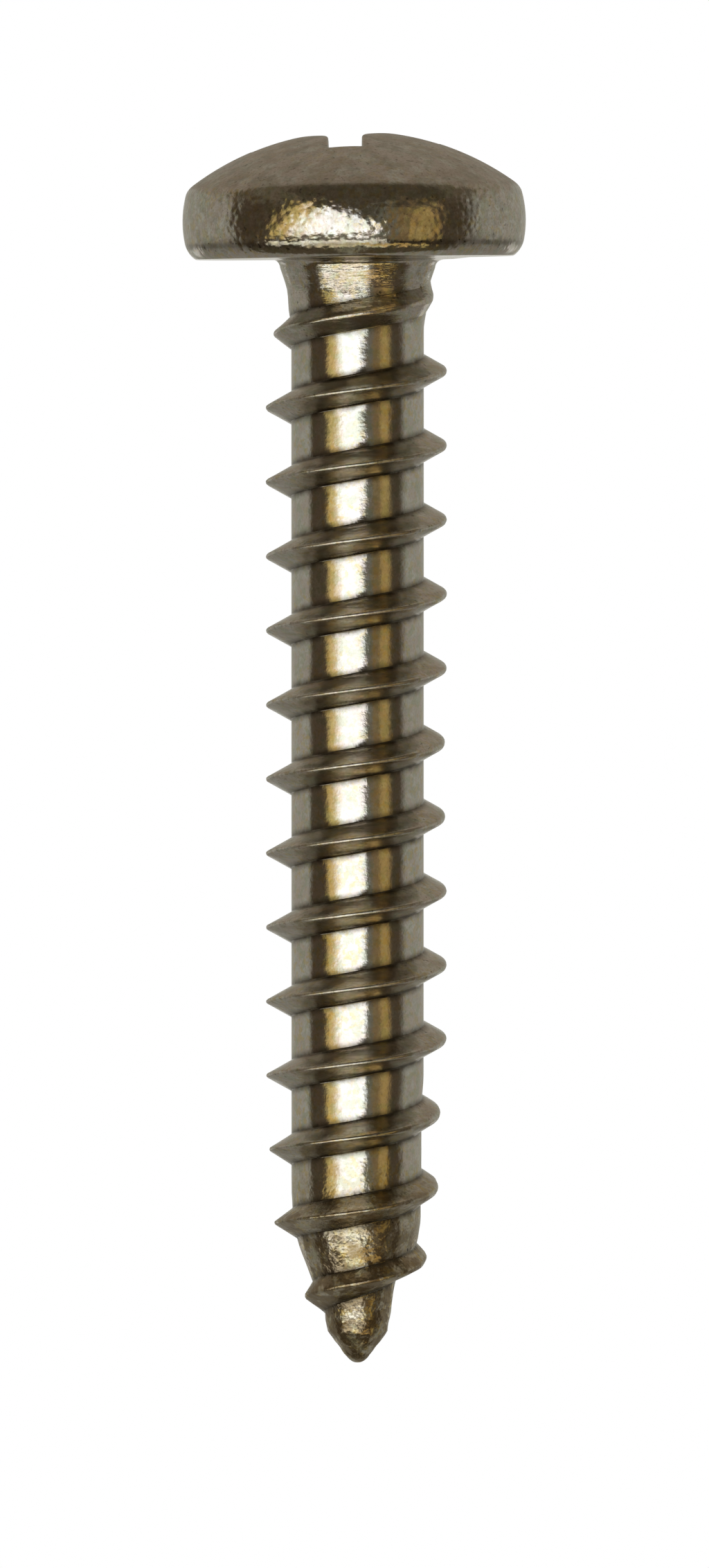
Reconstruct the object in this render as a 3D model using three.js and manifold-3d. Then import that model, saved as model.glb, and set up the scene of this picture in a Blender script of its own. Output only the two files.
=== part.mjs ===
// A pan-head self-tapping screw with a cross recess, threaded from under its head to its point.
// It is one piece of steel. Millimetres, +Z up through the head. The origin is on the shank's axis,
// level with the flat underside of the head, which is the face that bears on the work.
import * as THREE from "three";
import { mergeVertices } from "three/addons/utils/BufferGeometryUtils.js";
import Module from "manifold-3d";

// Head: a shallow dome on a slightly barrelled rim, over a flat bearing face.
const HEAD_HEIGHT = 2.93; // from the bearing face to the crown
const CROWN_RADIUS = 6.2; // of the sphere that the dome belongs to
const DOME_EDGE_RADIUS = 3.79; // where the dome meets the rim
const RIM_RADIUS = 3.91; // at the fullest height of the rim
const RIM_FULL_Z = 0.84; // the height at which the rim is fullest
const RIM_BULGE_RADIUS = 2.47; // of the arc that the rim follows from top to bottom
const LOWER_CORNER_RADIUS = 0.4; // of the rounding between the rim and the bearing face
const HEAD_SHIFT = 0.08; // the head was formed this far off the shank's axis, towards -X

// Cross recess, for a No. 2 driver: two crossed wings and a tapered square core between them.
const RECESS_RADIUS = 2.1; // out to the end of a wing, where it breaks through the dome
const WING_WIDTH = 0.76;
const WING_SLOPE = THREE.MathUtils.degToRad(26.5); // of a wing's end wall, from the axis
const WING_DEPTH = 1.75; // from the crown to the foot of a wing's end wall
const RECESS_DEPTH = 2.2; // from the crown to the lowest point, on the axis
const CORE_TOP_RADIUS = 1.4; // of the square core's corners, level with the crown
const CORE_FOOT_RADIUS = 0.85; // of the same corners at the foot of the wings
const RECESS_SHIFT = 0.26; // the recess was punched this far off the shank's axis, towards -X
const CUTTER_RISE = 0.4; // how far the cutting solids stand above the crown

// Shank: [radius, height] from its top inside the head, through the fillet under the head and the flare of
// the neck, down to the rim of the blunt point. The fillet leaves the bearing face outside the crests.
const CORE_RADIUS = 1.51; // of the steel between the turns of the thread
const NECK_RADIUS = 1.58;
const SHANK_OUTLINE = [
  [2.26, 0.14],
  [2.26, 0.02],
  [1.81, -0.045],
  [1.72, -0.134],
  [NECK_RADIUS, -0.8],
  [NECK_RADIUS, -1.2],
  [CORE_RADIUS, -1.45],
  [CORE_RADIUS, -21.7],
  [0.74, -24.2],
  [0.66, -24.48],
  [0.13, -25.17],
];
const SHANK_FOOT = -25.2;

// Thread: one right-hand start, 15 turns to the inch, with a 60 degree ridge.
const PITCH = 25.4 / 15;
const RIDGE_HEIGHT = 0.57; // from the core to the crest
const RIDGE_HALF_BASE = 0.37; // along the axis, at the core
const RIDGE_HALF_CREST = 0.05;
const CREST_Z_AT_X = -0.845; // height of the highest crest that crosses the +X side of the shank
const THREAD_TOP = -0.4; // the ridge rises out of the neck here
const THREAD_FULL_TOP = -2.5; // and has its full height from here
const THREAD_FULL_FOOT = -20.4; // down to here
const THREAD_FOOT = -24.48; // and is gone here, on the point

const SHANK_SEGMENTS = 32; // round the axis, which is also the count in each turn of the thread
const HEAD_SEGMENTS = 48;
const ARC_STEPS = 6;
const MERGE_DISTANCE = 1e-4;

const wasm = await Module();
wasm.setup();

// The [radius, height] points of a circular arc, from one angle to the other.
function arcPoints(centreRadius, centreHeight, radius, fromAngle, toAngle) {
  return Array.from({ length: ARC_STEPS + 1 }, (_, i) => {
    const angle = THREE.MathUtils.lerp(fromAngle, toAngle, i / ARC_STEPS);
    return [centreRadius + radius * Math.cos(angle), centreHeight + radius * Math.sin(angle)];
  });
}

// A round solid about the Z axis, from an outline of [radius, height] points that runs upwards.
function turned(outline, segments) {
  const profile = outline.map(([radius, height]) => new THREE.Vector2(radius, height));
  return new THREE.LatheGeometry(profile, segments).rotateX(Math.PI / 2);
}

// The closed geometry as a solid that can be joined to others and cut by them.
function solidOf(geometry) {
  const bare = geometry.clone();
  bare.deleteAttribute("normal");
  bare.deleteAttribute("uv");
  const merged = mergeVertices(bare, MERGE_DISTANCE);
  const vertProperties = merged.getAttribute("position").array;
  const triVerts = new Uint32Array(merged.index.array);
  return new wasm.Manifold(new wasm.Mesh({ numProp: 3, vertProperties, triVerts }));
}

// The solid's triangles as a geometry.
function geometryOf(solid) {
  const mesh = solid.getMesh();
  const geometry = new THREE.BufferGeometry();
  geometry.setAttribute("position", new THREE.BufferAttribute(mesh.vertProperties, 3));
  geometry.setIndex(new THREE.BufferAttribute(mesh.triVerts, 1));
  geometry.computeVertexNormals();
  return geometry;
}

function headGeometry() {
  const cornerCentre = RIM_RADIUS - RIM_BULGE_RADIUS;
  const lowerAngle = Math.asin((LOWER_CORNER_RADIUS - RIM_FULL_Z) / RIM_BULGE_RADIUS);
  const lowerRimRadius = cornerCentre + RIM_BULGE_RADIUS * Math.cos(lowerAngle);
  const upperAngle = Math.acos((DOME_EDGE_RADIUS - cornerCentre) / RIM_BULGE_RADIUS);
  const domeAngle = Math.acos(DOME_EDGE_RADIUS / CROWN_RADIUS);
  const lowerCorner = arcPoints(
    lowerRimRadius - LOWER_CORNER_RADIUS,
    LOWER_CORNER_RADIUS,
    LOWER_CORNER_RADIUS,
    -Math.PI / 2,
    0,
  );
  const rim = arcPoints(cornerCentre, RIM_FULL_Z, RIM_BULGE_RADIUS, lowerAngle, upperAngle);
  const dome = arcPoints(0, HEAD_HEIGHT - CROWN_RADIUS, CROWN_RADIUS, domeAngle, Math.PI / 2);
  const crown = [0, HEAD_HEIGHT];
  const outline = [[0, 0], ...lowerCorner, ...rim.slice(1), ...dome.slice(1, -1), crown];
  return turned(outline, HEAD_SEGMENTS).translate(-HEAD_SHIFT, 0, 0);
}

// A flat wing that runs along X through the axis, narrower at its foot, with a shallow V floor.
function wingGeometry() {
  const domeDrop = CROWN_RADIUS - Math.sqrt(CROWN_RADIUS ** 2 - RECESS_RADIUS ** 2);
  const top = HEAD_HEIGHT + CUTTER_RISE;
  const foot = HEAD_HEIGHT - WING_DEPTH;
  const widthAt = (z) => RECESS_RADIUS + (z - HEAD_HEIGHT + domeDrop) * Math.tan(WING_SLOPE);
  const outline = [
    [-widthAt(top), top],
    [-widthAt(foot), foot],
    [0, HEAD_HEIGHT - RECESS_DEPTH],
    [widthAt(foot), foot],
    [widthAt(top), top],
  ];
  const shape = new THREE.Shape(outline.map(([x, z]) => new THREE.Vector2(x, z)));
  const wing = new THREE.ExtrudeGeometry(shape, { depth: WING_WIDTH, bevelEnabled: false });
  return wing.translate(0, 0, -WING_WIDTH / 2).rotateX(Math.PI / 2);
}

// The four-sided core of the recess. Its corners point along the wings.
function recessCoreGeometry() {
  const height = WING_DEPTH + CUTTER_RISE;
  const growth = (CORE_TOP_RADIUS - CORE_FOOT_RADIUS) / WING_DEPTH;
  const topRadius = CORE_FOOT_RADIUS + growth * height;
  const core = new THREE.CylinderGeometry(topRadius, CORE_FOOT_RADIUS, height, 4);
  return core.rotateX(Math.PI / 2).translate(0, 0, HEAD_HEIGHT - WING_DEPTH + height / 2);
}

function recessSolid() {
  return solidOf(wingGeometry())
    .add(solidOf(wingGeometry().rotateZ(Math.PI / 2)))
    .add(solidOf(recessCoreGeometry()))
    .translate(-RECESS_SHIFT, 0, 0);
}

// The shank's radius at a height, without the thread.
function shankRadius(z) {
  const next = SHANK_OUTLINE.findIndex(([, height]) => height <= z);
  const [lowRadius, low] = SHANK_OUTLINE[next];
  const [highRadius, high] = SHANK_OUTLINE[next - 1];
  return THREE.MathUtils.mapLinear(z, low, high, lowRadius, highRadius);
}

// How much of its full height the ridge has at z, from 0 to 1. It rises bluntly and fades out on the point.
function ridgeShare(z) {
  const rise = (THREAD_TOP - z) / (THREAD_TOP - THREAD_FULL_TOP);
  const fade = (z - THREAD_FOOT) / (THREAD_FULL_FOOT - THREAD_FOOT);
  return Math.min(1, Math.sqrt(Math.max(0, rise)), Math.pow(Math.max(0, fade), 0.7));
}

// The ridge's corners at one side of the shank, as [radius, height], from the top down: in every turn its
// upper root, the two edges of its crest, and its lower root. Past the thread's ends they sit on the ends.
function threadSide(angle) {
  const crestZ = CREST_Z_AT_X + (angle / (2 * Math.PI)) * PITCH;
  const turns = Math.ceil((CREST_Z_AT_X + RIDGE_HALF_BASE - THREAD_FOOT) / PITCH) + 1;
  const section = [
    [0, RIDGE_HALF_BASE],
    [RIDGE_HEIGHT, RIDGE_HALF_CREST],
    [RIDGE_HEIGHT, -RIDGE_HALF_CREST],
    [0, -RIDGE_HALF_BASE],
  ];
  return Array.from({ length: turns * section.length }, (_, row) => {
    const [height, rise] = section[row % section.length];
    const turn = Math.floor(row / section.length);
    const z = THREE.MathUtils.clamp(crestZ + rise - turn * PITCH, THREAD_FOOT, THREAD_TOP);
    return [shankRadius(z) + height * ridgeShare(z), z];
  });
}

// The shank with its thread: its side, from the axis to the axis, carried once round. The side climbs by
// one pitch on the way, so its turns meet the next ones where it closes.
function shankGeometry() {
  const top = [0, SHANK_OUTLINE[0][1]];
  const foot = [0, SHANK_FOOT];
  const above = SHANK_OUTLINE.filter(([, z]) => z > THREAD_TOP);
  const below = SHANK_OUTLINE.filter(([, z]) => z < THREAD_FOOT);
  const neckRing = [shankRadius(THREAD_TOP), THREAD_TOP];
  const positions = [];
  const index = [];
  let rows = 0;
  for (let step = 0; step <= SHANK_SEGMENTS; step += 1) {
    const angle = (step / SHANK_SEGMENTS) * 2 * Math.PI;
    const side = [top, ...above, neckRing, ...threadSide(angle), ...below, foot];
    rows = side.length;
    for (const [radius, z] of side) {
      positions.push(radius * Math.cos(angle), radius * Math.sin(angle), z);
    }
  }
  for (let here = 0; here < SHANK_SEGMENTS * rows; here += 1) {
    if (here % rows < rows - 1) {
      index.push(here, here + 1, here + rows + 1, here, here + rows + 1, here + rows);
    }
  }
  const geometry = new THREE.BufferGeometry();
  geometry.setAttribute("position", new THREE.Float32BufferAttribute(positions, 3));
  geometry.setIndex(index);
  return geometry;
}

function screwGeometry() {
  const body = solidOf(headGeometry()).add(solidOf(shankGeometry()));
  return geometryOf(body.subtract(recessSolid()));
}

const steel = new THREE.MeshStandardMaterial({ color: 0xb4aea0, roughness: 0.28, metalness: 1 });
const screw = new THREE.Mesh(screwGeometry(), steel);
screw.name = "screw";

const part = new THREE.Group();
part.add(screw);

export default part;
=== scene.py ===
"""Looks of a pan-head self-tapping screw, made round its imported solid.

The screw is one piece of cold-formed, thread-rolled and plated steel, so its skin is one
closed mesh. From the bottom of the cross recess outwards and then down to the point, the
skin is a run of rings that all have the same number of points: recess, crown, rim, bearing
face, neck, helical thread, point. Sizes in the classes are in millimetres, and the mesh is
scaled to metres when it is made. The screw's axis is Z, its point is down, and the origin
is level with the underside of the head.
"""
import logging
import math
from collections.abc import Mapping, Sequence
from dataclasses import dataclass, field
from enum import Enum
from typing import Any

import bmesh
import bpy
import numpy as np
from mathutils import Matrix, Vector, noise


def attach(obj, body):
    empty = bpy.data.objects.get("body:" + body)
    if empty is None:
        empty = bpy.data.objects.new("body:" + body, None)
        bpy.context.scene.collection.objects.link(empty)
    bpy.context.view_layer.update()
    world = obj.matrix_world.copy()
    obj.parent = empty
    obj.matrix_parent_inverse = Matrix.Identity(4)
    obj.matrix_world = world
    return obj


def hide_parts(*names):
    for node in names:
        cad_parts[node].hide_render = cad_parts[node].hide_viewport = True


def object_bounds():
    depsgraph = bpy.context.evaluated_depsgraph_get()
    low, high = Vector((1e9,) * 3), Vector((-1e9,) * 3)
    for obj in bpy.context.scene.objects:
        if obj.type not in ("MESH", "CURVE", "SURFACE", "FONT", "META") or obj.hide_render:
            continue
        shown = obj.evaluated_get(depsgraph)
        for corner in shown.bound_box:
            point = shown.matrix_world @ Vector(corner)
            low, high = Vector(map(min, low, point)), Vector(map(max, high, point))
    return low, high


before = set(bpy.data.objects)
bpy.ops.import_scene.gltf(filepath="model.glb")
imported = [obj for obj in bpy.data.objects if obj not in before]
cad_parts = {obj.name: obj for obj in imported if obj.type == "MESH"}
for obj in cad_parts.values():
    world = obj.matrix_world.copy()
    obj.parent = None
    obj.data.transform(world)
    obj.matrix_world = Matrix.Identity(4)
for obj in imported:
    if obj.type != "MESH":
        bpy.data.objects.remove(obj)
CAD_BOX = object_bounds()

LOG = logging.getLogger("screw")

MM = 0.001
TURN = 2 * math.pi
COLUMNS = 160
ANGLES = np.arange(COLUMNS) * TURN / COLUMNS

Colour = tuple[float, float, float]
Pair = tuple[float, float]
Sweep = tuple[float, float, float, float]
Settings = Mapping[str, Any]
Inputs = Mapping[str | int, Any]

EASE = {"interpolation_type": "SMOOTHSTEP", "clamp": True}


class Zone(Enum):
    """Parts of the skin that the finish tells apart, each a share from 0 to 1 at every point."""

    RECESS = "recess"
    CROWN = "crown"
    RIM = "rim"
    NECK = "neck"
    FLANK = "flank"
    CREST = "crest"
    # Painted shade along the ridge's roots and the rim's lower corner.
    ROOT = "root"
    POINT = "point"


class Vein(Enum):
    """How a pattern is stretched over the screw, as the scale that turns metres into its units."""

    EVEN = (1 / MM, 1 / MM, 1 / MM)
    ALONG = (1 / MM, 1 / MM, 0.16 / MM)
    AROUND = (0.2 / MM, 0.2 / MM, 1 / MM)


@dataclass(frozen=True)
class Cloud:
    """A cloudy pattern, which shows from none of it at one level to all of it at another.

    Its size is in millimetres, its detail is how many finer layers it has, and its offset
    moves it, so that two alike patterns differ.
    """

    size: float
    none_at: float
    all_at: float
    detail: float = 3.0
    offset: float = 0.0
    vein: Vein = Vein.EVEN


@dataclass(frozen=True)
class Texture:
    """Low cloudy bumps, on the whole screw or in one zone only, with sizes in millimetres."""

    name: str
    zone: Zone | None
    size: float
    height: float
    detail: float
    offset: float = 0.0
    vein: Vein = Vein.EVEN


# ---- shader maths


class Value:
    """A number, colour or vector that a node gives, with arithmetic on numbers."""

    def __init__(self, graph: "Graph", socket: bpy.types.NodeSocket) -> None:
        """Keeps the socket and the graph that it belongs to."""
        self.graph = graph
        self.socket = socket

    def __add__(self, other: "Operand") -> "Value":
        """Sum of two numbers."""
        return self.graph.maths("ADD", self, other)

    def __sub__(self, other: "Operand") -> "Value":
        """Difference of two numbers."""
        return self.graph.maths("SUBTRACT", self, other)

    def __mul__(self, other: "Operand") -> "Value":
        """Product of two numbers."""
        return self.graph.maths("MULTIPLY", self, other)

    def __rsub__(self, other: float) -> "Value":
        """Difference of a plain number and this one."""
        return self.graph.maths("SUBTRACT", other, self)

    __radd__ = __add__
    __rmul__ = __mul__

    def rise(self, low: float, high: float) -> "Value":
        """Smooth step from 0 at low to 1 at high."""
        inputs = {"Value": self, "From Min": low, "From Max": high}
        return self.graph.node("ShaderNodeMapRange", EASE, inputs)


Operand = Value | float


class Graph:
    """Makes the nodes of one material or world."""

    def __init__(self, tree: bpy.types.NodeTree) -> None:
        """Empties the node tree of a material or a world, and keeps it."""
        tree.nodes.clear()
        self.tree = tree

    def node(self, kind: str, settings: Settings, inputs: Inputs, out: str | int = 0) -> Value | None:
        """Makes a node, sets it up, then fills in or links its sockets.

        Args:
            kind: Blender's name for the node's type.
            settings: the node's own properties, which are set first.
            inputs: values or Values for the sockets, by name or by number.
            out: the wanted output, by name or by number.

        Returns:
            The wanted output, or None from a node that has no outputs.
        """
        node = self.tree.nodes.new(kind)
        for name, setting in settings.items():
            setattr(node, name, setting)
        for key, given in inputs.items():
            socket = node.inputs[key]
            if isinstance(given, Value):
                self.tree.links.new(given.socket, socket)
            elif socket.type == "RGBA":
                socket.default_value = (*given, 1.0)
            else:
                socket.default_value = given
        return Value(self, node.outputs[out]) if node.outputs else None

    def maths(self, operation: str, *operands: Operand) -> Value:
        """One Math node on one, two or three numbers."""
        return self.node("ShaderNodeMath", {"operation": operation}, dict(enumerate(operands)))

    def blend(self, share: Operand, below: Any, above: Any, label: str = "") -> Value:
        """Colour that goes from the one below to the one above as the share goes from 0 to 1."""
        settings = {"data_type": "RGBA", "clamp_factor": True, "label": label}
        return self.node("ShaderNodeMix", settings, {0: share, 6: below, 7: above}, out=2)

    def zone(self, zone: Zone) -> Value:
        """Share of a zone at the shaded point."""
        settings = {"attribute_type": "GEOMETRY", "attribute_name": zone.value}
        return self.node("ShaderNodeAttribute", settings, {}, out="Fac")

    def zones(self, first: Zone, *others: Zone) -> Value:
        """Sum of the shares of several zones at the shaded point."""
        return sum((self.zone(other) for other in others), start=self.zone(first))

    def place(self, vein: Vein, offset: float = 0.0) -> Value:
        """Position on the screw in millimetres, stretched for a pattern and moved by an offset."""
        inputs = {"Vector": self.node("ShaderNodeTexCoord", {}, {}, out="Object"), "Scale": vein.value}
        return self.node("ShaderNodeMapping", {"vector_type": "POINT"}, {**inputs, "Location": (offset,) * 3})

    def mottle(self, size: float, vein: Vein = Vein.EVEN, detail: float = 3.0, offset: float = 0.0) -> Value:
        """Cloudy pattern from 0 to 1, about 0.5 on average, with blotches of a size in millimetres."""
        inputs = {"Vector": self.place(vein, offset), "Scale": 1 / size, "Detail": detail, "Roughness": 0.55}
        return self.node("ShaderNodeTexNoise", {"noise_dimensions": "3D"}, inputs)

    def cloud(self, cloud: Cloud) -> Value:
        """Share of a cloudy pattern that shows at the shaded point."""
        pattern = self.mottle(cloud.size, cloud.vein, cloud.detail, cloud.offset)
        return pattern.rise(cloud.none_at, cloud.all_at)

    def pebbles(self, size: float) -> Value:
        """Rounded bumps packed side by side, from 0 at their tops to about 1 between them."""
        inputs = {"Vector": self.place(Vein.EVEN), "Scale": 1 / size, "Smoothness": 0.5, "Randomness": 1.0}
        return self.node("ShaderNodeTexVoronoi", {"feature": "SMOOTH_F1"}, inputs, out="Distance")


# ---- finish


@dataclass(frozen=True)
class PlatedSteel:
    """Bright plating on rolled steel, with a straw-brown film, painted shade in its corners and worn crests.
    """

    name: str = "plated_steel"
    bright: Colour = (0.66, 0.65, 0.61)
    dull: Colour = (0.47, 0.455, 0.42)
    straw: Colour = (0.62, 0.50, 0.24)
    olive: Colour = (0.50, 0.52, 0.42)
    film: Colour = (0.305, 0.24, 0.16)
    # Dark colour for soot in the pits, and for the painted shade along the roots, under the rim and in the
    # recess.
    soot_and_shade: Colour = (0.10, 0.085, 0.065)
    worn: Colour = (0.86, 0.84, 0.79)
    rosy: Colour = (0.62, 0.54, 0.50)
    polish: Cloud = Cloud(0.32, 0.36, 0.60, detail=5.0)
    blush: Cloud = Cloud(0.36, 0.42, 0.56, detail=5.0, offset=3.0)
    greening: Cloud = Cloud(0.24, 0.50, 0.60, detail=5.0, offset=71.0)
    flecks: Cloud = Cloud(0.14, 0.50, 0.62, detail=4.0, offset=7.0)
    patches: Cloud = Cloud(1.2, 0.40, 0.60, offset=91.0)
    films: tuple[tuple[Zone, Cloud, float], ...] = (
        (Zone.FLANK, Cloud(0.16, 0.46, 0.60, detail=4.0, offset=67.0, vein=Vein.AROUND), 0.34),
        (Zone.RIM, Cloud(0.13, 0.42, 0.60, offset=61.0), 0.32),
        (Zone.POINT, Cloud(0.36, 0.42, 0.52, offset=11.0), 0.80),
        (Zone.CROWN, Cloud(0.5, 0.45, 0.57, detail=6.0, offset=59.0), 0.34),
    )
    grain: Cloud = Cloud(0.06, 0.44, 0.66, offset=19.0)
    pits: Cloud = Cloud(0.11, 0.62, 0.70, offset=17.0)
    # Size and offset of the blotches in the painted shade along the roots.
    root_size: float = 0.2
    root_offset: float = 5.0
    rubbing: Cloud = Cloud(0.12, 0.45, 0.62, offset=47.0)
    rolled_roughness: float = 0.115
    smear_size: float = 0.3
    smear_offset: float = 23.0
    smear_strength: float = 0.10
    satin: tuple[tuple[Zone, float], ...] = (
        (Zone.CROWN, 0.25),
        (Zone.FLANK, 0.10),
        (Zone.POINT, 0.10),
        (Zone.RECESS, 0.25),
        (Zone.CREST, 0.12),
    )
    pebble_size: float = 0.16
    pebble_height: float = 0.0085
    textures: tuple[Texture, ...] = (
        Texture("satin crown", Zone.CROWN, 0.14, 0.010, 5.0),
        Texture("waves down the shank", None, 0.35, 0.0035, 2.0, 31.0, Vein.ALONG),
        Texture("fine ripple", None, 0.10, 0.003, 3.0, 53.0),
        Texture("dents", None, 1.1, 0.018, 1.0, 97.0),
        Texture("roll marks", Zone.FLANK, 0.06, 0.003, 2.0, 37.0, Vein.AROUND),
        Texture("drawn neck", Zone.NECK, 0.16, 0.024, 4.0, 41.0, Vein.AROUND),
        Texture("crushed point", Zone.POINT, 0.26, 0.040, 2.5, 43.0),
    )

    def material(self) -> bpy.types.Material:
        """Makes the material.

        Returns:
            The material, with its colour, roughness and relief from nodes.
        """
        made = bpy.data.materials.new(self.name)
        made.use_nodes = True
        graph = Graph(made.node_tree)
        inputs = {"Base Color": self.colour(graph), "Metallic": 1.0}
        inputs |= {"Roughness": self.roughness(graph), "Normal": self.relief(graph)}
        steel = graph.node("ShaderNodeBsdfPrincipled", {}, inputs)
        graph.node("ShaderNodeOutputMaterial", {}, {"Surface": steel})
        return made

    def colour(self, graph: Graph) -> Value:
        """Lays film, soot in the pits and painted shade over the tarnished plating, and rubs the crests
        bright.

        Args:
            graph: the material's nodes.

        Returns:
            The screw's colour.
        """
        soiled_and_shaded = self.soiled_and_shaded(graph, self.tarnished(graph))
        rubbed = graph.zone(Zone.CREST) * graph.cloud(self.rubbing) * 0.5
        return graph.blend(rubbed, soiled_and_shaded, self.worn)

    def tarnished(self, graph: Graph) -> Value:
        """Plates the steel, dullest where it was headed, and tarnishes it rosy, olive and straw.

        Args:
            graph: the material's nodes.

        Returns:
            The plating's colour.
        """
        crown, point = graph.zone(Zone.CROWN), graph.zone(Zone.POINT)
        headed = graph.zones(Zone.CROWN, Zone.RIM, Zone.NECK)
        dulled = (1 - graph.cloud(self.polish)) * (0.45 + headed * 0.55)
        plating = graph.blend(dulled, self.bright, self.dull)
        blush = graph.cloud(self.blush) * (0.75 - point * 0.5)
        blushed = graph.blend(blush, plating, self.rosy)
        greening = graph.cloud(self.greening) * (0.75 - crown * 0.45)
        greened = graph.blend(greening, blushed, self.olive)
        flecks = graph.cloud(self.flecks)
        strewn = flecks * (graph.cloud(self.patches) * 0.36 + 0.24 - crown * 0.3)
        return graph.blend(strewn + point * (0.28 + flecks * 0.30), greened, self.straw)

    def soiled_and_shaded(self, graph: Graph, steel: Value) -> Value:
        """Lays the brown film, then soot in the pits, and painted shade along the ridge's roots, under the
        rim and in the recess.

        Args:
            graph: the material's nodes.
            steel: colour of the clean steel.

        Returns:
            The steel's colour with film, soot and painted shade.
        """
        films = sum(graph.zone(zone) * graph.cloud(cloud) * strength for zone, cloud, strength in self.films)
        filmed = graph.blend(films.rise(0.0, 1.0), steel, self.film)
        # Everything but the smooth lands between the turns.
        uneven = graph.zones(Zone.CROWN, Zone.RIM, Zone.NECK, Zone.FLANK, Zone.POINT).rise(0.0, 1.0)
        grain = graph.cloud(self.grain) * (0.16 + uneven * 0.16 + graph.zone(Zone.POINT) * 0.15)
        grained = graph.blend(grain, filmed, self.film)
        pits = graph.cloud(self.pits) * (0.12 + uneven * 0.40)
        # Painted shade along the ridge's roots and under the rim, in blotches, and in the recess; soot in the
        # pits.
        cloudy = graph.mottle(self.root_size, offset=self.root_offset)
        roots = graph.zone(Zone.ROOT) * (0.40 + cloudy * 0.7)
        grime_and_shade = (pits + roots + graph.zone(Zone.RECESS) * 0.6).rise(0.0, 1.0)
        return graph.blend(grime_and_shade, grained, self.soot_and_shade)

    def roughness(self, graph: Graph) -> Value:
        """Makes the rolled lands smooth and the other zones satin.

        Args:
            graph: the material's nodes.

        Returns:
            The roughness.
        """
        smears = graph.mottle(self.smear_size, Vein.ALONG, offset=self.smear_offset) - 0.5
        rough = self.rolled_roughness + smears * self.smear_strength
        for zone, satin in self.satin:
            rough = rough + graph.zone(zone) * satin
        return rough

    def relief(self, graph: Graph) -> Value:
        """Raises the pebbles of the rim and the textures.

        Args:
            graph: the material's nodes.

        Returns:
            The bent normal.
        """
        height = graph.zone(Zone.RIM) * graph.pebbles(self.pebble_size) * -self.pebble_height
        for texture in self.textures:
            bumps = graph.mottle(texture.size, texture.vein, texture.detail, texture.offset)
            shown = bumps if texture.zone is None else graph.zone(texture.zone) * bumps
            added = {"operation": "MULTIPLY_ADD", "label": texture.name}
            height = graph.node("ShaderNodeMath", added, {0: shown, 1: texture.height, 2: height})
        return graph.node("ShaderNodeBump", {}, {"Height": height, "Distance": MM, "Strength": 1.0})


# ---- mesh


@dataclass
class Ring:
    """One run of points round the screw, with the share of each zone there."""

    points: np.ndarray
    zones: dict[Zone, float | np.ndarray] = field(default_factory=dict)


class Skin:
    """Closed skin of quads, stitched from ring to ring."""

    def __init__(self) -> None:
        """Starts with no points."""
        self.points: list[np.ndarray] = []
        self.zones: dict[Zone, list[np.ndarray]] = {zone: [] for zone in Zone}
        self.faces: list[tuple[int, ...]] = []
        self.count = 0

    def add(self, ring: Ring) -> np.ndarray:
        """Adds a ring's points.

        Args:
            ring: the points, as many as there are of them, and their zones.

        Returns:
            The numbers of the new points.
        """
        size = len(ring.points)
        self.points.append(ring.points)
        for zone, shares in self.zones.items():
            shares.append(np.broadcast_to(ring.zones.get(zone, 0.0), (size,)))
        first = self.count
        self.count += size
        return np.arange(first, self.count)

    def run(self, rings: Sequence[Ring], last: np.ndarray | None = None) -> np.ndarray:
        """Adds a run of rings, each stitched to the one before it.

        Args:
            rings: the rings, in order from the recess to the point.
            last: numbers of the ring before the first of them, if there is one.

        Returns:
            The numbers of the last ring's points.
        """
        for ring in rings:
            added = self.add(ring)
            if last is not None:
                self.stitch(last, added)
            last = added
        return last

    def stitch(self, inner: np.ndarray, outer: np.ndarray) -> None:
        """Joins two rings, the outer nearer the point, by quads, or by a fan from a single point."""
        inner, outer = (np.broadcast_to(ring, (COLUMNS,)) for ring in (inner, outer))
        self.face(inner, outer, np.roll(outer, -1), np.roll(inner, -1))

    def face(self, *corners: np.ndarray) -> None:
        """Adds a face for each row of corners, leaving out corners that are the same point."""
        for row in zip(*(corner.tolist() for corner in corners)):
            kept = tuple(dict.fromkeys(row))
            if len(kept) > 2:
                self.faces.append(kept)

    def mesh(self, name: str) -> bpy.types.Mesh:
        """Makes the mesh, in metres, with a share at every point for each zone.

        Args:
            name: the mesh's name.

        Returns:
            The mesh, shaded smooth.

        Raises:
            ValueError: if an edge doesn't have just two faces.
        """
        made = bpy.data.meshes.new(name)
        made.from_pydata((np.vstack(self.points) * MM).tolist(), [], self.faces)
        for zone, shares in self.zones.items():
            layer = made.attributes.new(zone.value, "FLOAT", "POINT")
            layer.data.foreach_set("value", np.concatenate(shares).astype(np.float32))
        made.shade_smooth()
        tested = bmesh.new()
        tested.from_mesh(made)
        loose = sum(not edge.is_manifold for edge in tested.edges)
        tested.free()
        if loose:
            raise ValueError(f"the skin isn't closed: {loose} edges")
        return made


def mixed(first: Any, second: Any, share: Any) -> Any:
    """Value between two, for a share from 0 to 1."""
    return first + (second - first) * share


def step(value: Any, low: float, high: float) -> Any:
    """Smooth step from 0 at low to 1 at high, on plain numbers."""
    share = np.clip((value - low) / (high - low), 0.0, 1.0)
    return share * share * (3 - 2 * share)


def circle(radius: float | np.ndarray, height: float | np.ndarray) -> np.ndarray:
    """Points of a level ring round Z, one for each column."""
    level = np.broadcast_to(height, (COLUMNS,))
    return np.column_stack((radius * np.cos(ANGLES), radius * np.sin(ANGLES), level))


def upright(radii: np.ndarray, angle: float, heights: np.ndarray) -> np.ndarray:
    """Points of one column, which all have the same angle round Z."""
    return np.column_stack((radii * math.cos(angle), radii * math.sin(angle), heights))


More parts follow.
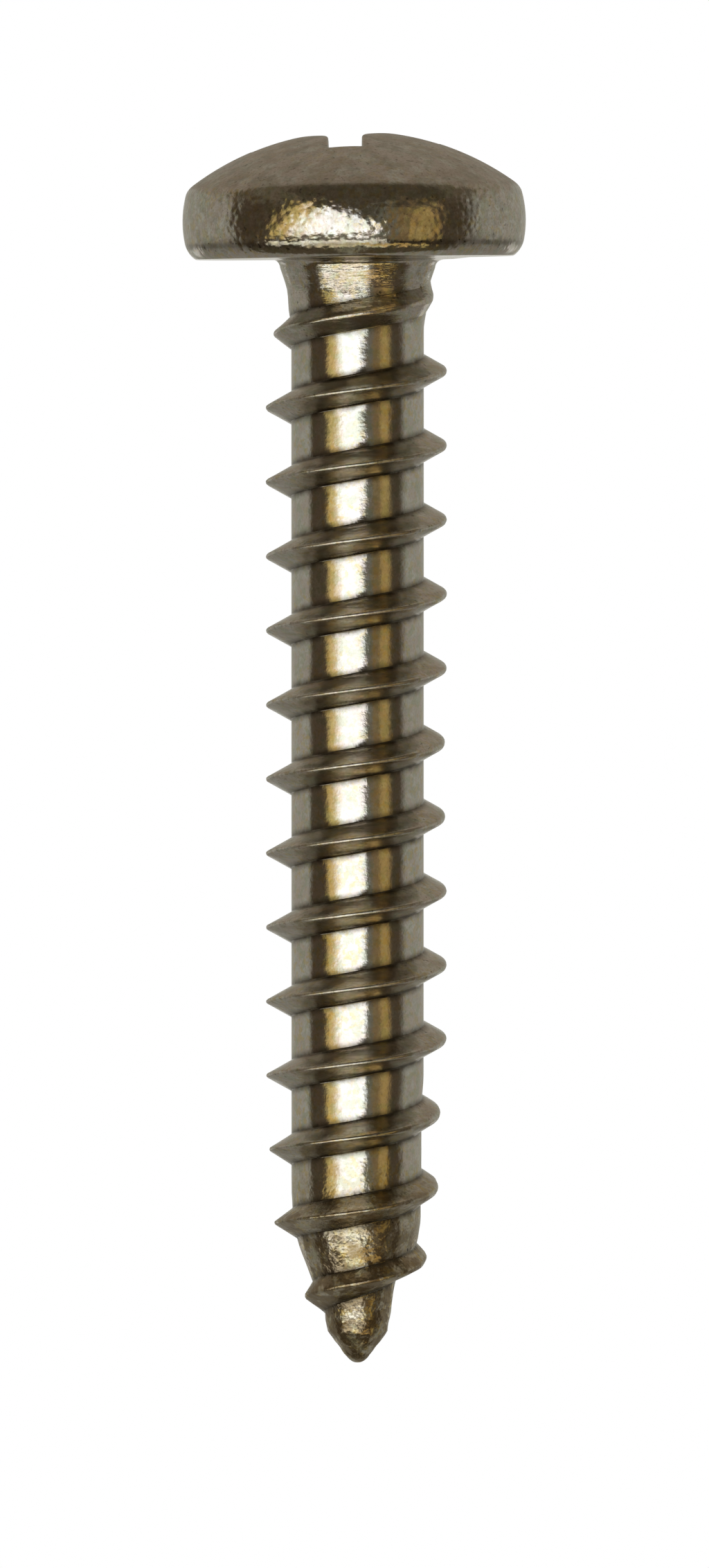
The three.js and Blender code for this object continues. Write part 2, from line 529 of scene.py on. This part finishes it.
def arc(centre: Pair, radius: float, start: float, end: float, steps: int) -> np.ndarray:
    """Rows of radius and height on an arc of a profile, its angles in degrees, 0 outwards and 90 up."""
    turns = np.radians(np.linspace(start, end, steps + 1))
    return np.column_stack((centre[0] + radius * np.cos(turns), centre[1] + radius * np.sin(turns)))


def curve(start: Sequence[float], bend: Sequence[float], end: Sequence[float], steps: int) -> np.ndarray:
    """Points on a quadratic curve.

    Args:
        start: first point.
        bend: the corner that the curve rounds.
        end: last point.
        steps: how many pieces the curve has.

    Returns:
        Rows of points.
    """
    share = np.linspace(0.0, 1.0, steps + 1)[:, None]
    a, b, c = (np.asarray(point, float) for point in (start, bend, end))
    return mixed(mixed(a, b, share), mixed(b, c, share), share)


def swell(value: Any, middle: float, spread: float) -> Any:
    """Smooth swell that is 1 at its middle and fades over its spread, on plain numbers."""
    return np.exp(-(((value - middle) / spread) ** 2))


@dataclass(frozen=True)
class Unevenness:
    """Smooth unevenness of a surface: size of its waves, their height and a seed."""

    size: float
    height: float
    seed: float

    def at(self, points: np.ndarray) -> np.ndarray:
        """Offset at each row of x, y and z, up to about the height either way."""
        shift = Vector((self.seed, self.seed, self.seed))
        return np.array([noise.noise(Vector(point) / self.size + shift) for point in points]) * self.height


# ---- head


@dataclass
class CrossRecess:
    """Cross recess for a No. 2 driver: four tapered wings round a diamond core.

    A pair of sizes is the one at the crown and the one at the wings' feet. The steps along
    a quarter of the outline make up a quarter of the columns. Each ring of the floor has
    its share of the way to the walls, and its lift.
    """

    centre_x: float = -0.18
    wing_reach: Pair = (2.10, 1.41)
    half_width: Pair = (0.38, 0.34)
    core_reach: Pair = (1.40, 0.85)
    wing_foot: float = 1.18
    core_foot: float = 0.73
    wing_round: float = 0.10
    core_round: float = 0.15
    lip: float = 0.06
    straight_steps: tuple[int, ...] = (3, 7, 6, 7)
    bend_steps: tuple[int, ...] = (4, 3, 3, 4)
    tip_steps: int = 3
    floor_shares: tuple[float, ...] = (0.15, 0.35, 0.55, 0.75, 0.92, 0.98)
    floor_lifts: tuple[float, ...] = (0.0, 0.0, 0.0, 0.0, 0.0, 0.02)
    wall_steps: int = 8
    lip_steps: int = 5

    def outline(self, depth: float, growth: float = 0.0) -> np.ndarray:
        """Outline of the cross at one level.

        Args:
            depth: 0 at the crown and 1 at the wings' feet.
            growth: how far the outline is moved outwards.

        Returns:
            Rows of x and y, one for each column.
        """
        reach = mixed(*self.wing_reach, depth) + growth
        half = mixed(*self.half_width, depth) + growth
        core = mixed(*self.core_reach, depth) + growth * math.sqrt(2)
        waist = core - half
        inner_round = min(self.core_round, 0.4 * math.sqrt(2) * (waist - half))
        wing = [(reach, 0), (reach, half), (waist, half)]
        corners = np.array([*wing, *((y, x) for x, y in reversed(wing))])
        rounds = (self.wing_round, inner_round, inner_round, self.wing_round)
        line = [corners[0]]
        steps = zip(rounds, self.straight_steps, self.bend_steps)
        for first, (rounding, straight, bent) in enumerate(steps):
            before, here, after = corners[first : first + 3]
            start = here + (before - here) * rounding / np.linalg.norm(before - here)
            end = here + (after - here) * rounding / np.linalg.norm(after - here)
            shares = np.linspace(0, 1, straight + 1)[1:, None]
            line.extend(mixed(line[-1], start, shares))
            line.extend(curve(start, here, end, bent)[1:])
        line.extend(mixed(line[-1], corners[-1], np.linspace(0, 1, self.tip_steps + 1)[1:-1, None]))
        quarter = np.array(line)
        turns = (quarter, quarter[:, ::-1] * (-1, 1), -quarter, quarter[:, ::-1] * (1, -1))
        return np.vstack(turns) + (self.centre_x, 0.0)

    def floor(self) -> list[Ring]:
        """Rings of the recess's floor, from its deepest point to the feet of the walls.

        Returns:
            The rings.
        """
        foot = self.outline(1.0)
        centre = np.array((self.centre_x, 0.0))
        zones = {Zone.RECESS: 1.0}
        rings = [Ring(np.array([(self.centre_x, 0.0, self.core_foot)]), zones)]
        for share, lift in zip(self.floor_shares, self.floor_lifts):
            level = np.full((COLUMNS, 1), mixed(self.core_foot, self.wing_foot, share) + lift)
            rings.append(Ring(np.hstack((mixed(centre, foot, share), level)), zones))
        return rings


@dataclass
class PanHead:
    """Domed head, a little tilted and off the shank's axis as cold forming left it.

    The crown runs out to the shoulder, which rounds over to the bulged rim. The rim's lower
    edge is rounded twice, with the edge round meeting the flat bearing face. A pair of
    heights is where something starts to show, or to fade, and where it is there, or gone.
    """

    height: float = 2.885
    crown_radius: float = 6.2
    rim_radius: float = 3.91
    rim_full_height: float = 0.84
    rim_bulge: float = 2.47
    lower_round: float = 0.60
    lower_turn: float = 52.0
    edge_round: float = 0.10
    shoulder_start: float = 3.64
    shoulder_end_height: float = 1.45
    bearing_inner: float = 2.02
    pebbles_start: Pair = (1.66, 1.50)
    pebbles_end: Pair = (0.02, 0.20)
    crown_edge: Pair = (1.52, 1.66)
    # Painted shade along the rim's lower corner: its height, spread and strength.
    corner_height: float = 0.29
    corner_spread: float = 0.09
    corner_shade: float = 0.75
    bearing_shares: tuple[float, ...] = (0.2, 0.45, 0.7, 0.88, 1.0)
    untilt: Pair = (1.0, 0.45)
    tilt: float = math.radians(0.8)
    shift_x: float = -0.066
    lift: float = 0.03
    crown_steps: int = 20
    recess: CrossRecess = field(default_factory=CrossRecess)

    def crown_height(self, plan: np.ndarray) -> np.ndarray:
        """Height of the domed crown over points of the plan."""
        squares = np.sum(plan * plan, axis=1)
        return self.height - self.crown_radius + np.sqrt(self.crown_radius**2 - squares)

    def seated(self, ring: Ring, share: float = 1.0) -> Ring:
        """Tilts and shifts a ring with the head.

        Args:
            ring: a ring made about the head's own axis.
            share: 1 on the head and 0 on the shank.

        Returns:
            The moved ring.
        """
        x, y, z = ring.points.T
        tilt = self.tilt * share
        moved_x = x * math.cos(tilt) - z * math.sin(tilt) + self.shift_x * share
        moved_z = x * math.sin(tilt) + z * math.cos(tilt) + self.lift * share
        return Ring(np.column_stack((moved_x, y, moved_z)), ring.zones)

    def over(self, plan: np.ndarray, drop: float = 0.0) -> np.ndarray:
        """Points on the crown over points of the plan, or a little under it."""
        return np.column_stack((plan, self.crown_height(plan) - drop))

    def recess_rings(self) -> list[Ring]:
        """Rings of the recess: floor, walls and the lip that the punch rolled over.

        Returns:
            The rings.
        """
        recess = self.recess
        rings = recess.floor()
        top = self.crown_height(recess.outline(0.0)) - recess.lip
        for share in np.linspace(0.0, 1.0, recess.wall_steps + 1):
            level = mixed(recess.wing_foot + recess.lip, top, share)
            plan = recess.outline(1.0 - share)
            # The recess share also lays painted shade, strongest on the floor and fading up the walls.
            rings.append(Ring(np.column_stack((plan, level)), {Zone.RECESS: 1.0 - 0.5 * share}))
        for turn in np.linspace(0, math.pi / 2, recess.lip_steps + 1)[1:]:
            growth = recess.lip * (1 - math.cos(turn))
            drop = recess.lip * (1 - math.sin(turn))
            share = turn / (math.pi / 2)
            zones = {Zone.RECESS: 0.5 * (1 - share), Zone.CROWN: share}
            rings.append(Ring(self.over(recess.outline(0.0, growth), drop), zones))
        return rings

    def crown_rings(self) -> list[Ring]:
        """Rings of the crown, which go from the cross to a circle.

        Returns:
            The rings.
        """
        lip = self.recess.outline(0.0, self.recess.lip)
        edge = circle(self.shoulder_start, 0.0)[:, :2]
        shares = np.linspace(0.0, 1.0, self.crown_steps + 1)[1:]
        return [Ring(self.over(mixed(lip, edge, share)), {Zone.CROWN: 1.0}) for share in shares]

    def rim_profile(self) -> np.ndarray:
        """Radius and height down the rim, from the crown's edge to the bearing face.

        Returns:
            Rows of radius and height.
        """
        bulge = (self.rim_radius - self.rim_bulge, self.rim_full_height)
        rise = self.shoulder_end_height - bulge[1]
        end = (bulge[0] + math.sqrt(self.rim_bulge**2 - rise**2), self.shoulder_end_height)
        # The shoulder is bent where the crown's slope and the rim's would meet.
        start_height = self.crown_height(np.array([(self.shoulder_start, 0.0)]))[0]
        slope = self.shoulder_start / math.sqrt(self.crown_radius**2 - self.shoulder_start**2)
        lean = rise / (end[0] - bulge[0])
        reach = (start_height + slope * self.shoulder_start - end[1] - end[0] / lean) / (slope - 1 / lean)
        corner = (reach, start_height - slope * (reach - self.shoulder_start))
        shoulder = curve((self.shoulder_start, start_height), corner, end, 8)[1:]
        # Each lower arc starts where the one above it ends, and along its direction.
        turn = math.radians(self.lower_turn)
        inset = self.lower_round - self.edge_round
        low_height = self.edge_round + inset * math.sin(turn)
        span = self.rim_bulge - self.lower_round
        fall = bulge[1] - low_height
        low_turn = math.degrees(math.asin(fall / span))
        side = arc(bulge, self.rim_bulge, math.degrees(math.asin(rise / self.rim_bulge)), -low_turn, 10)[1:]
        low_centre = (bulge[0] + math.sqrt(span**2 - fall**2), low_height)
        under = arc(low_centre, self.lower_round, -low_turn, -self.lower_turn, 7)[1:]
        edge_centre = (low_centre[0] + inset * math.cos(turn), self.edge_round)
        edge = arc(edge_centre, self.edge_round, -self.lower_turn, -90.0, 4)[1:]
        return np.vstack((shoulder, side, under, edge))

    def rim_rings(self) -> list[Ring]:
        """Rings of the pebbled rim, from the crown's edge to the bearing face.

        Returns:
            The rings.
        """
        rings = []
        for radius, height in self.rim_profile():
            rim = float(step(height, *self.pebbles_start) * step(height, *self.pebbles_end))
            crown = float(step(height, *self.crown_edge))
            # Painted shade along the rim's lower corner, laid in the roots' zone.
            corner = self.corner_shade * float(swell(height, self.corner_height, self.corner_spread))
            rings.append(Ring(circle(radius, height), {Zone.RIM: rim, Zone.CROWN: crown, Zone.ROOT: corner}))
        return rings

    def bearing_rings(self) -> list[Ring]:
        """Rings of the flat underside, which pass from the head's axis to the shank's.

        Returns:
            The rings.
        """
        outer = self.rim_profile()[-1][0]
        rings = []
        for share in self.bearing_shares:
            level = Ring(circle(mixed(outer, self.bearing_inner, share), 0.0), {Zone.NECK: share})
            rings.append(self.seated(level, float(step(share, *self.untilt))))
        return rings

    def rings(self) -> list[Ring]:
        """All rings of the head, from the bottom of the recess to the neck."""
        upper = self.recess_rings() + self.crown_rings() + self.rim_rings()
        return [self.seated(ring) for ring in upper] + self.bearing_rings()


# ---- shank


@dataclass(frozen=True)
class Outline:
    """Radius of the core by height, with softened corners, each a height and a radius."""

    corners: tuple[Pair, ...]
    softness: float = 0.10
    samples: int = 9

    def radius(self, height: np.ndarray) -> np.ndarray:
        """Works out the radius at each height.

        Args:
            height: the heights.

        Returns:
            A radius for each of them.
        """
        heights, radii = zip(*self.corners)
        room = np.minimum(np.abs(height - heights[0]), np.abs(height - heights[-1]))
        reach = np.minimum(self.softness, room)
        levels = [height + reach * share for share in np.linspace(-1, 1, self.samples)]
        return np.mean([np.interp(level, heights, radii) for level in levels], axis=0)


@dataclass
class RolledThread:
    """Right-handed spaced thread: a ridge of nearly 60 degrees with land between its turns.

    The fade gives the ridge's share of its full height by the height of its crest. The
    starved spots are where the dies filled the crest least: height, spread and amount.
    """

    pitch: float = 25.4 / 15
    sharp_height: float = 0.632
    flank_angle: float = math.radians(28.5)
    root_round: float = 0.05
    crest_round: float = 0.05
    crest_at_x: float = -0.845
    top: float = -0.40
    foot: float = -24.48
    fade: tuple[Pair, ...] = (
        (-24.48, 0.0), (-24.2, 0.15), (-23.7, 0.52), (-22.8, 0.70), (-22.0, 0.78), (-20.3, 0.87),
        (-18.5, 1.0), (-2.5, 1.0), (-1.67, 0.69), (-0.88, 0.28), (-0.40, 0.0),
    )
    side_bluntness: float = 0.05
    starved_spots: tuple[tuple[float, float, float], ...] = ((-11.8, 1.3, 1.0), (-20.3, 1.4, 1.6))
    crest_turns: tuple[float, ...] = (0.0, 20.0, 40.0, 60.0)
    root_turns: tuple[float, ...] = (-150.0, -130.0, -110.0, -90.0)

    def share(self, crest: np.ndarray) -> np.ndarray:
        """How much of its full height the ridge has where its crest is at these heights."""
        return np.interp(crest, *zip(*self.fade))

    def bluntness(self, angle: float, crest: np.ndarray) -> np.ndarray:
        """Radius of the crest, which the dies filled less on the side towards +X.

        Args:
            angle: angle of the column round the screw.
            crest: heights of the crest on it.

        Returns:
            The crest's radius at each height.
        """
        side = max(0.0, math.cos(angle)) ** 2
        starved = sum(amount * swell(crest, middle, spread) for middle, spread, amount in self.starved_spots)
        return self.crest_round + side * self.side_bluntness * (1 + starved)

    def section(self, blunt: np.ndarray) -> tuple[np.ndarray, np.ndarray]:
        """One pitch of the thread's section for each crest.

        Args:
            blunt: radius of each crest.

        Returns:
            Distances below the crest's middle and heights over the core, a row for each crest.
        """
        crest_turns, root_turns = np.radians(self.crest_turns), np.radians(self.root_turns)
        crest_centre = self.sharp_height - blunt / math.sin(self.flank_angle)
        over = [crest_centre + blunt * math.cos(turn) for turn in crest_turns]
        beside = [blunt * math.sin(turn) for turn in crest_turns]
        foot = self.sharp_height * math.tan(self.flank_angle)
        tangent = self.root_round * math.tan(math.pi / 6)
        root_over = [self.root_round * (1 + math.sin(turn)) for turn in root_turns]
        root_beside = [foot + tangent + self.root_round * math.cos(turn) for turn in root_turns]
        for share in (0.33, 0.67):
            over.append(mixed(over[len(crest_turns) - 1], root_over[0], share))
            beside.append(mixed(beside[len(crest_turns) - 1], root_beside[0], share))
        land = [mixed(root_beside[-1], self.pitch / 2, share) for share in (0.33, 0.67, 1.0)]
        over += [np.full_like(blunt, value) for value in (*root_over, *(0.0 for _ in land))]
        beside += [np.full_like(blunt, value) for value in (*root_beside, *land)]
        below = np.column_stack(beside)
        height = np.column_stack(over)
        return np.hstack((-below[:, :0:-1], below[:, :-1])), np.hstack((height[:, :0:-1], height[:, :-1]))


@dataclass
class ThreadedShank:
    """Neck, threaded core and blunt point, on the screw's axis.

    A pair of heights, distances or shares is where something starts and where it is
    complete. The nose's corner and its end are each a radius and a height.
    """

    neck_radius: float = 1.765
    neck_foot: float = -0.20
    end: float = -25.2
    point_radius: float = 0.24
    point_height: float = -25.08
    nose_corner: Pair = (0.144, -25.195)
    nose_end: Pair = (0.03, -25.197)
    side_flat: float = 0.05
    core: Outline = Outline(
        (
            (-24.48, 0.68), (-24.1, 0.76), (-23.4, 1.01), (-22.5, 1.34), (-21.9, 1.47), (-21.3, 1.51),
            (-1.5, 1.51), (-1.2, 1.57), (-0.82, 1.59), (-0.66, 1.61), (-0.36, 1.71), (-0.20, 1.765),
        )
    )
    pinched: Outline = Outline(((-24.48, 0.68), (-24.1, 0.75), (-23.7, 0.80), (-23.3, 0.87), (-22.6, 1.10)))
    pinch_below_crest: Pair = (0.05, 0.40)
    pinch_start: Pair = (-22.2, -22.9)
    flat_top: Pair = (-18.6, -19.4)
    flat_foot: Pair = (-22.3, -21.5)
    neck_zone: Pair = (-1.9, -0.8)
    point_zone: Pair = (-19.2, -23.6)
    flank_zone: Pair = (0.02, 0.08)
    crest_zone: Pair = (0.84, 0.90)
    # Where the painted shade along the ridge's roots lies: distance from the crest's middle, spread, and fade
    # with the ridge's height.
    root_offset: float = 0.35
    root_spread: float = 0.055
    root_fade: Pair = (0.1, 0.6)
    nicks: tuple[Unevenness, ...] = (Unevenness(0.35, 0.010, 4.0), Unevenness(0.12, 0.005, 9.0))
    crushing: Unevenness = Unevenness(0.3, 0.02, 15.0)
    point_dents: tuple[Unevenness, ...] = (Unevenness(0.25, 0.035, 21.0), Unevenness(0.1, 0.012, 27.0))
    thread: RolledThread = field(default_factory=RolledThread)

    def neck_rings(self, start: float) -> list[Ring]:
        """Rings of the fillet under the head and the cone down to the thread's start.

        Args:
            start: radius where the fillet leaves the bearing face.

        Returns:
            The rings, from the top down.
        """
        end = (self.neck_radius, self.neck_foot)
        fillet = curve((start, 0.0), (self.neck_radius + 0.02, 0.0), end, 7)[1:]
        rings = [Ring(circle(radius, height), {Zone.NECK: 1.0}) for radius, height in fillet]
        for height in np.linspace(self.neck_foot, self.thread.top, 4)[1:-1]:
            rings.append(Ring(self.core_circle(height), {Zone.NECK: 1.0}))
        return rings

    def core_circle(self, height: float) -> np.ndarray:
        """Level ring round the bare core."""
        return circle(self.core.radius(np.array([height]))[0], height)

    def end_zones(self, heights: np.ndarray) -> dict[Zone, np.ndarray]:
        """Shares of the neck's finish and of the point's at each height."""
        return {Zone.NECK: step(heights, *self.neck_zone), Zone.POINT: step(heights, *self.point_zone)}

    def core_radius(self, angle: float, crests: np.ndarray, heights: np.ndarray) -> np.ndarray:
        """Radius of the core under one column of the thread.

        The dies left the core a little flat on the side towards +X near its foot, and
        pinched it thinner below the last turn of the ridge.

        Args:
            angle: angle of the column round the screw.
            crests: heights of the ridge's crests on the column.
            heights: heights where the radius is wanted.

        Returns:
            The radius at each height.
        """
        below = step(crests[:, None] - heights, *self.pinch_below_crest)
        pinch = np.max(below * step(crests, *self.pinch_start)[:, None], axis=0)
        side = max(0.0, math.cos(angle)) ** 2
        flat = step(heights, *self.flat_top) * step(heights, *self.flat_foot) * side
        return mixed(self.core.radius(heights), self.pinched.radius(heights), pinch) - self.side_flat * flat

    def column(self, angle: float, rows: np.ndarray) -> tuple[np.ndarray, dict[Zone, np.ndarray]]:
        """Points down one column of the thread, from above its top to below its foot.

        Args:
            angle: angle of the column round the screw.
            rows: numbers of the turns, from the highest.

        Returns:
            Rows of x, y and z, and the share of each zone at them.
        """
        thread = self.thread
        crests = thread.crest_at_x + (angle / TURN - rows) * thread.pitch
        below, over = thread.section(thread.bluntness(angle, crests))
        heights = (crests[:, None] - below).ravel()
        shares = np.repeat(thread.share(crests), below.shape[1])
        inside = np.clip(heights, thread.foot, thread.top)
        ridge = over.ravel() * shares * (heights == inside)
        core = self.core_radius(angle, crests, inside)
        radii = core + ridge
        points = upright(radii, angle, inside)
        nicked = sum(nicks.at(points) for nicks in self.nicks)
        ends = self.end_zones(inside)
        crushed = self.crushing.at(points) * ends[Zone.POINT]
        radii = radii + nicked * ridge / thread.sharp_height + crushed * (heights == inside)
        points = upright(radii, angle, inside)
        # Painted shade where each flank meets the land.
        roots = swell(np.abs(below).ravel(), self.root_offset, self.root_spread)
        zones = {
            Zone.FLANK: step(ridge, *self.flank_zone),
            Zone.CREST: step(ridge / thread.sharp_height, *self.crest_zone),
            Zone.ROOT: roots * step(shares, *self.root_fade),
            **ends,
        }
        return points, zones

    def wind(self, skin: Skin, above: np.ndarray) -> np.ndarray:
        """Adds the helical part of the skin.

        Each column holds the same run of sections, and the column after the last is the
        first again, one turn further down its rows. Rows above the thread's top or below
        its foot all fall on that level's own ring.

        Args:
            skin: the skin to add to.
            above: numbers of the ring that the thread hangs from.

        Returns:
            The numbers of the ring at the thread's foot.
        """
        thread = self.thread
        turns = math.ceil((thread.top - thread.foot) / thread.pitch) + 3
        rows = np.arange(turns) - 1
        columns = [self.column(angle, rows) for angle in ANGLES]
        per_turn = len(columns[0][0]) // turns
        tops, feet = (
            skin.add(Ring(self.core_circle(level), self.end_zones(np.array(level))))
            for level in (thread.top, thread.foot)
        )
        numbers = []
        for column, (points, zones) in enumerate(columns):
            free = (points[:, 2] < thread.top) & (points[:, 2] > thread.foot)
            kept = {zone: shares[free] for zone, shares in zones.items()}
            line = np.where(points[:, 2] >= thread.top, tops[column], feet[column])
            line[free] = skin.add(Ring(points[free], kept))
            numbers.append(line)
        wrapped = np.concatenate((np.full(per_turn, tops[0]), numbers[0][:-per_turn]))
        numbers.append(wrapped)
        for here, following in zip(numbers, numbers[1:]):
            skin.face(here[:-1], here[1:], following[1:], following[:-1])
        skin.stitch(above, tops)
        return feet

    def point_rings(self) -> list[Ring]:
        """Rings of the blunt cone at the end, and its last point.

        Returns:
            The rings.
        """
        start = np.array((self.core.corners[0][1], self.thread.foot))
        end = np.array((self.point_radius, self.point_height))
        side = mixed(start, end, np.linspace(0, 1, 9)[1:, None])
        nose = curve(side[-1], self.nose_corner, self.nose_end, 5)[1:]
        rings = []
        for radius, height in np.vstack((side, nose)):
            points = circle(radius, height)
            uneven = sum(dents.at(points) for dents in self.point_dents)
            fade = np.clip(radius / 0.3, 0.0, 1.0) * min(1.0, (start[1] - height) / 0.1)
            points[:, :2] *= (1 + uneven * fade / max(radius, 0.1))[:, None]
            rings.append(Ring(points, {Zone.POINT: 1.0}))
        rings.append(Ring(np.array([(0.0, 0.0, self.end)]), {Zone.POINT: 1.0}))
        return rings


@dataclass
class Screw:
    """The whole screw, one piece of steel."""

    name: str = "screw_steel"
    node: str = "screw"
    head: PanHead = field(default_factory=PanHead)
    shank: ThreadedShank = field(default_factory=ThreadedShank)
    finish: PlatedSteel = field(default_factory=PlatedSteel)

    def build(self) -> bpy.types.Object:
        """Winds the skin from the recess to the point.

        Returns:
            The screw's object.
        """
        skin = Skin()
        last = skin.run(self.head.rings() + self.shank.neck_rings(self.head.bearing_inner))
        last = self.shank.wind(skin, last)
        skin.run(self.shank.point_rings(), last)
        made = bpy.data.objects.new(self.name, skin.mesh(self.name))
        bpy.context.scene.collection.objects.link(made)
        return made

    def dress(self, piece: bpy.types.Object) -> None:
        """Gives the screw its finish and its place in the frame.

        Args:
            piece: the screw's object.
        """
        piece.data.materials.append(self.finish.material())
        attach(piece, "root")
        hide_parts(self.node)


# ---- studio


@dataclass(frozen=True)
class Card:
    """A lit or dark card of the studio, on a far sphere round the screw.

    Each sweep has four angles in degrees: where the card starts to show, where it shows
    fully, where it starts to go, and where it has gone. Azimuth is 0 in front of the screw,
    at the camera, and grows towards +X. A card that leans goes that many degrees towards
    +X for each degree up, and a slanted one rises that many degrees for each towards +X.
    """

    name: str
    azimuth: Sweep
    elevation: Sweep
    light: Colour
    both_sides: bool = False
    lean: float = 0.0
    slant: float = 0.0


WHOLE = (-400.0, -390.0, 390.0, 400.0)
WHITE = (1.0, 1.0, 1.0)


@dataclass
class Studio:
    """White sweep, pale floor and the cards that the steel reflects."""

    room: Colour = (0.385, 0.375, 0.325)
    floor_radius: float = 450.0
    floor_sides: int = 96
    floor_gap: float = 0.05
    cards: tuple[Card, ...] = (
        Card("back ceiling", WHOLE, (10, 24, 390, 400), (0.325, 0.288, 0.230)),
        Card("back floor", WHOLE, (-400, -390, -18, -7), (0.27, 0.26, 0.225)),
        Card("front wall", (-97, -85, 76, 97), WHOLE, (0.086, 0.066, 0.043)),
        Card("front ceiling", (-104, -92, 85, 105), (13, 21, 390, 400), (0.145, 0.122, 0.084)),
        Card("front floor", (-104, -92, 85, 105), (-400, -390, -45, -34), (0.088, 0.072, 0.044)),
        Card("lit ceiling", (-14, -5, 7, 16), (38, 48, 390, 400), (0.36, 0.38, 0.27)),
        Card("lit floor", (-28, -14, 4, 14), (-400, -390, -52, -44), (0.24, 0.225, 0.155)),
        Card("bench", (-72, -56, 14, 26), (-40, -37, -27, -22), (1.65, 1.62, 1.43)),
        Card("low bench", (-42, -28, 24, 36), (-55, -50, -40, -37), (1.25, 1.14, 0.78)),
        Card("brass floor", (2, 14, 56, 68), (-50, -47, -41, -38), (0.98, 0.71, 0.28)),
        Card("curtain", (-58, -46, 30, 40), (-19, -13, 11, 20), (0.83, 0.64, 0.25), lean=0.6),
        Card("window", (-44, -22, 30, 40), (-18, -13, 9, 16), (1.9, 1.95, 1.97), lean=0.6),
        Card("blind", (-60, -50, 60, 80), (1, 8, 390, 400), (0.085, 0.070, 0.046), slant=-0.5),
        Card("brown wall", (15, 21, 56, 64), (-28, -22, 10, 20), (0.235, 0.172, 0.085)),
        Card("brass lamp", (36, 45, 51, 60), (-34, -26, 1, 5), (0.46, 0.335, 0.125), slant=0.15),
        Card("dark frame", (13, 19, 22, 30), (-28, -22, 12, 20), (0.17, 0.165, 0.13)),
        Card("back window", (138, 146, 158, 166), (-21, -18, -13, -10), (0.66, 0.65, 0.61), both_sides=True),
        Card("rear window", (170, 176, 190, 200), (-25, -18, 4, 9), (0.66, 0.65, 0.60), both_sides=True),
    )

    def shine(self) -> None:
        """Lights the scene: the camera sees white, and everything else sees the cards."""
        world = bpy.data.worlds.new("studio")
        world.use_nodes = True
        bpy.context.scene.world = world
        graph = Graph(world.node_tree)
        way = graph.node("ShaderNodeTexCoord", {}, {}, out="Generated")
        x, y, z = (graph.node("ShaderNodeSeparateXYZ", {}, {0: way}, out=axis) for axis in range(3))
        azimuth = graph.maths("ARCTAN2", x, y * -1.0) * math.degrees(1)
        elevation = graph.maths("ARCSINE", z) * math.degrees(1)
        aside = graph.maths("ABSOLUTE", azimuth)
        seen: Value | Colour = self.room
        for card in self.cards:
            across = aside if card.both_sides else azimuth - elevation * card.lean
            up = elevation - azimuth * card.slant
            shown = self.shown(across, card.azimuth) * self.shown(up, card.elevation)
            seen = graph.blend(shown, seen, card.light, card.name)
        to_camera = graph.node("ShaderNodeLightPath", {}, {}, out="Is Camera Ray")
        whole = graph.blend(to_camera, seen, WHITE)
        light = graph.node("ShaderNodeBackground", {}, {"Color": whole})
        graph.node("ShaderNodeOutputWorld", {}, {"Surface": light})

    @staticmethod
    def shown(angle: Value, sweep: Sweep) -> Value:
        """Share of a card that shows at an angle."""
        start, full, fading, gone = sweep
        return angle.rise(start, full) * (1 - angle.rise(fading, gone))

    def floor_material(self) -> bpy.types.Material:
        """White floor that glows evenly from above and is clear from below.

        Returns:
            The floor's material.
        """
        made = bpy.data.materials.new("pale_floor")
        made.use_nodes = True
        graph = Graph(made.node_tree)
        below = graph.node("ShaderNodeNewGeometry", {}, {}, out="Backfacing")
        white = graph.node("ShaderNodeEmission", {}, {"Color": WHITE, "Strength": 1.0})
        clear = graph.node("ShaderNodeBsdfTransparent", {}, {})
        either = graph.node("ShaderNodeMixShader", {}, {0: below, 1: white, 2: clear})
        graph.node("ShaderNodeOutputMaterial", {}, {"Surface": either})
        return made

    def floor(self, level: float) -> bpy.types.Object:
        """Lays the floor, which the steel doesn't reflect.

        Args:
            level: height of the screw's lowest point, in metres.

        Returns:
            The floor.
        """
        shape = bmesh.new()
        radius = self.floor_radius * MM
        bmesh.ops.create_circle(shape, cap_ends=True, segments=self.floor_sides, radius=radius)
        mesh = bpy.data.meshes.new("floor")
        shape.to_mesh(mesh)
        shape.free()
        mesh.materials.append(self.floor_material())
        made = bpy.data.objects.new("floor", mesh)
        made.location.z = level - self.floor_gap * MM
        for ray in ("diffuse", "glossy", "transmission", "shadow"):
            setattr(made, f"visible_{ray}", False)
        bpy.context.scene.collection.objects.link(made)
        return made


@dataclass
class Portrait:
    """The camera, upright, level with the neck and aimed near the middle of the shank."""

    place: tuple[float, float, float] = (-0.07, -240.0, -2.0)
    target: tuple[float, float, float] = (-0.07, 0.0, -11.96)
    lens: float = 241.7
    sensor: float = 36.0
    nearest: float = 10.0
    farthest: float = 5000.0

    def set_up(self) -> bpy.types.Object:
        """Makes the camera, and shows colours as they are.

        Returns:
            The camera.
        """
        data = bpy.data.cameras.new("portrait")
        data.lens = self.lens
        data.sensor_width = self.sensor
        data.clip_start = self.nearest * MM
        data.clip_end = self.farthest * MM
        made = bpy.data.objects.new("portrait", data)
        made.location = Vector(self.place) * MM
        aim = Vector(self.target) - Vector(self.place)
        made.rotation_euler = aim.to_track_quat("-Z", "Y").to_euler()
        scene = bpy.context.scene
        scene.collection.objects.link(made)
        scene.camera = made
        scene.view_settings.view_transform = "Standard"
        return made


def main() -> None:
    """Builds the camera, the studio and the screw."""
    logging.basicConfig(level=logging.INFO, format="%(message)s")
    Portrait().set_up()
    studio = Studio()
    studio.shine()
    studio.floor(CAD_BOX[0].z)
    screw = Screw()
    piece = screw.build()
    screw.dress(piece)
    LOG.info("%s: %d faces", piece.name, len(piece.data.polygons))


if __name__ == "__main__":
    main()
